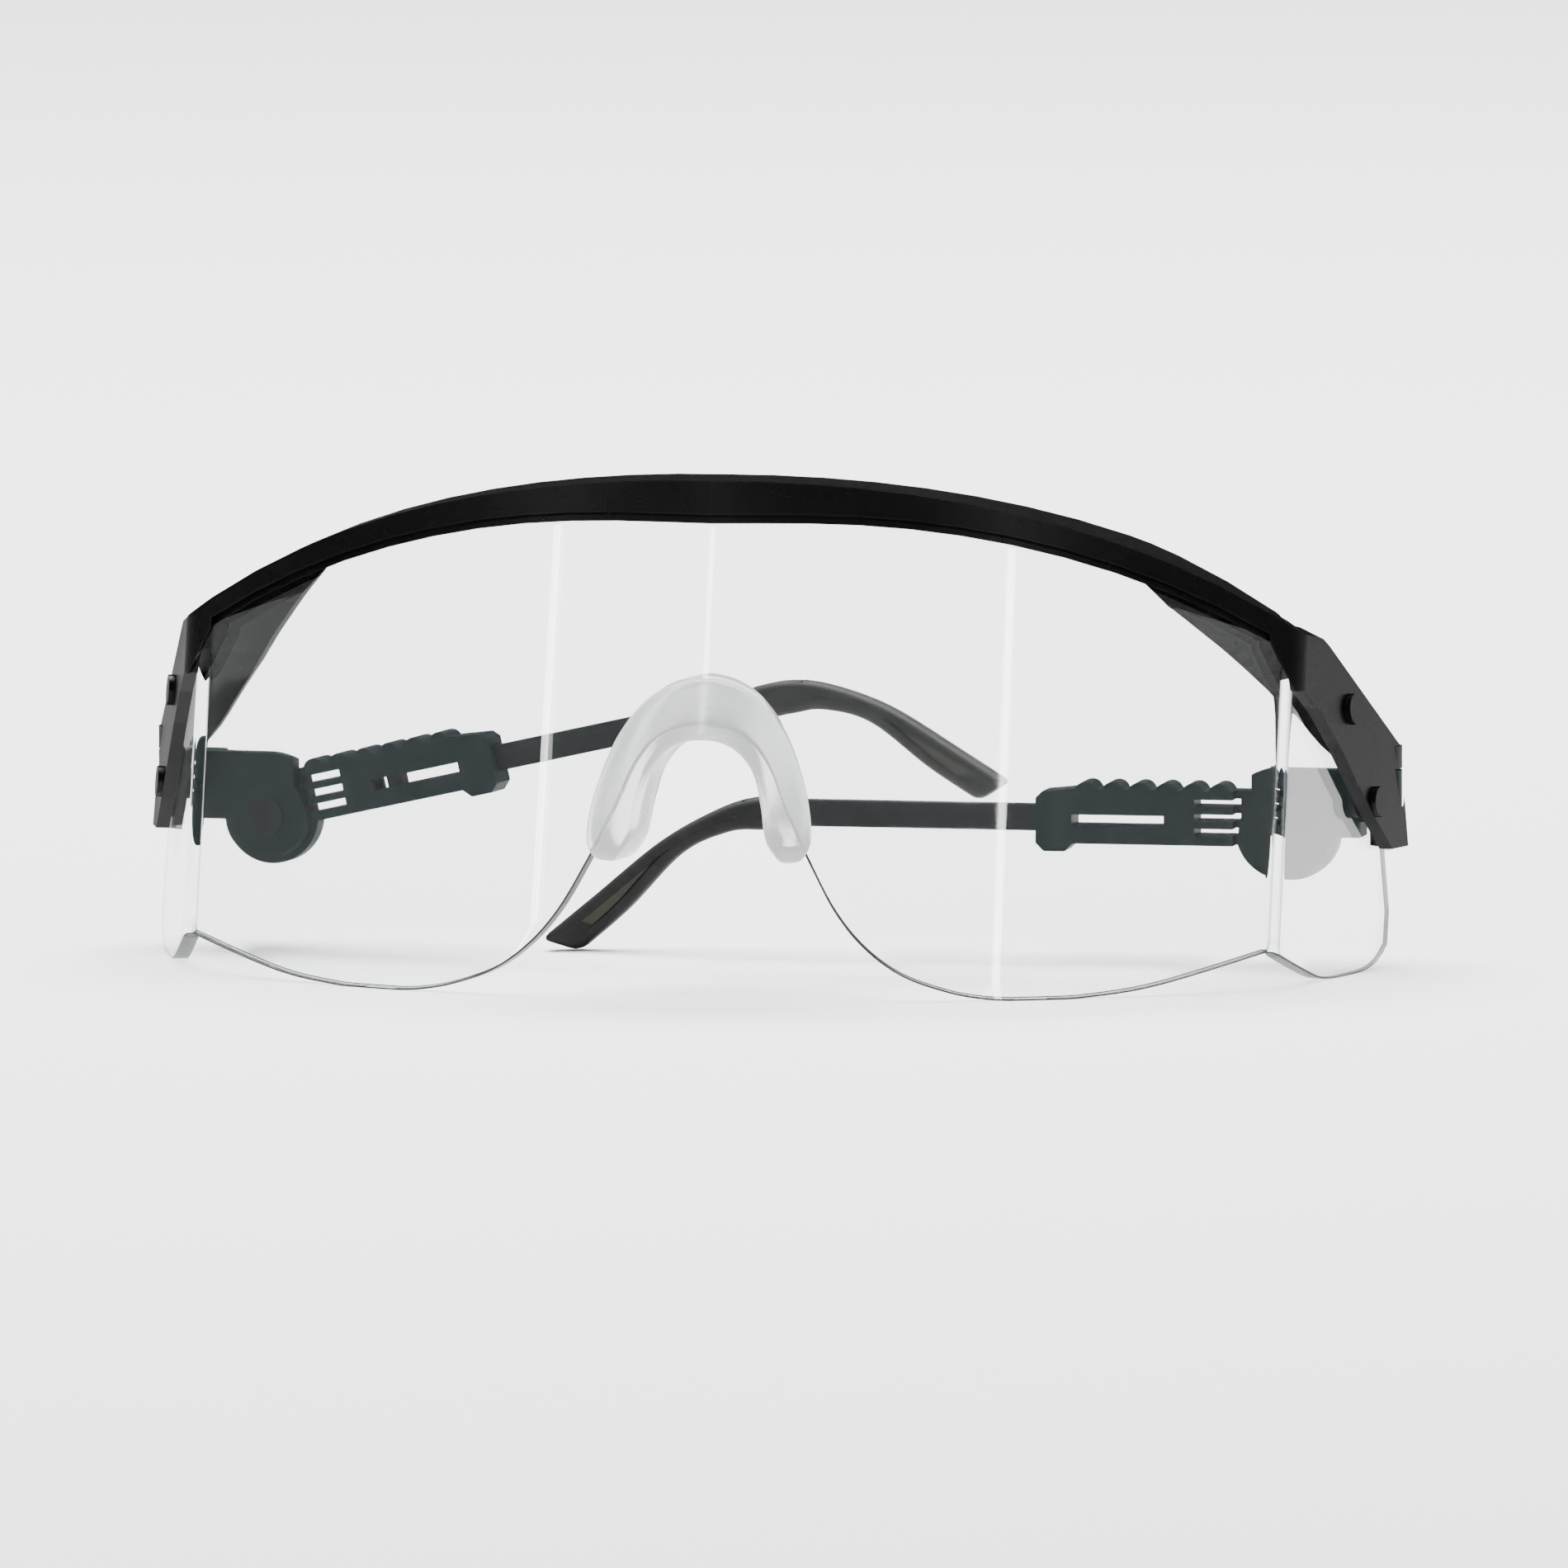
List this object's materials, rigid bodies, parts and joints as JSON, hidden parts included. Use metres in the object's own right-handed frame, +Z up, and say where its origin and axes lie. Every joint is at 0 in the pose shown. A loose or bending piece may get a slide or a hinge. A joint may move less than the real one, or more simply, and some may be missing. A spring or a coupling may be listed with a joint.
{
  "type": "safety glasses",
  "caption": "Clear wraparound safety glasses with a black brow guard, clear side shields and folding temples that tilt and slide to fit.",
  "frame": {"origin": "under the middle of the bounding box, on the surface that the glasses stand on", "axes": "+X towards the temple on the right as seen from the front, +Y from the lens back to the hinges, +Z up"},
  "size_m": [0.1576, 0.0614, 0.0626],
  "materials": {
    "clear_lens": "clear polished polycarbonate",
    "black_brow": "glossy black moulded nylon",
    "clear_nose_pad": "soft clear vinyl, slightly cloudy",
    "pin_steel": "plain steel pin",
    "temple_plastic": "satin teal-black moulded nylon",
    "rivet_black": "satin black",
    "slider_plastic": "satin black moulded nylon",
    "pad_rubber": "soft dark grey rubber"
  },
  "bodies": {
    "front": {"lens": "clear_lens", "brow_guard": "black_brow", "nose_pad": "clear_nose_pad", "lens_rivets_left": "black_brow", "lens_rivets_right": "black_brow", "hinge_pin_left": "pin_steel", "hinge_pin_right": "pin_steel"},
    "block_left": {"hinge_block_left": "temple_plastic", "tilt_rivet_left": "rivet_black"},
    "block_right": {"hinge_block_right": "temple_plastic", "tilt_rivet_right": "rivet_black"},
    "arm_left": {"temple_arm_left": "temple_plastic"},
    "arm_right": {"temple_arm_right": "temple_plastic"},
    "tip_left": {"temple_slider_left": "slider_plastic", "ear_pad_left": "pad_rubber"},
    "tip_right": {"temple_slider_right": "slider_plastic", "ear_pad_right": "pad_rubber"}
  },
  "joints": [
    {"name": "fold_left", "type": "hinge", "parent": "front", "child": "block_left", "pos_m": [-0.0754, 0.0273, 0.0208], "axis": [0, 0, 1], "range_deg": [0, 101]},
    {"name": "fold_right", "type": "hinge", "parent": "front", "child": "block_right", "pos_m": [0.0754, 0.0273, 0.0208], "axis": [0, 0, -1], "range_deg": [0, 92]},
    {"name": "tilt_left", "type": "hinge", "parent": "block_left", "child": "arm_left", "pos_m": [-0.06302, 0.02556, 0.016], "axis": [-0.1392, -0.9903, 0], "range_deg": [-13, 0]},
    {"name": "tilt_right", "type": "hinge", "parent": "block_right", "child": "arm_right", "pos_m": [0.0629, 0.02752, 0.016], "axis": [0.0175, 0.9998, 0], "range_deg": [0, 13]},
    {"name": "slide_left", "type": "slide", "parent": "arm_left", "child": "tip_left", "axis": [0.9649, -0.1356, 0.225], "range_m": [-0.004, 0.005]},
    {"name": "slide_right", "type": "slide", "parent": "arm_right", "child": "tip_right", "axis": [-0.9998, 0.0175, 0], "range_m": [0, 0.009]}
  ]
}
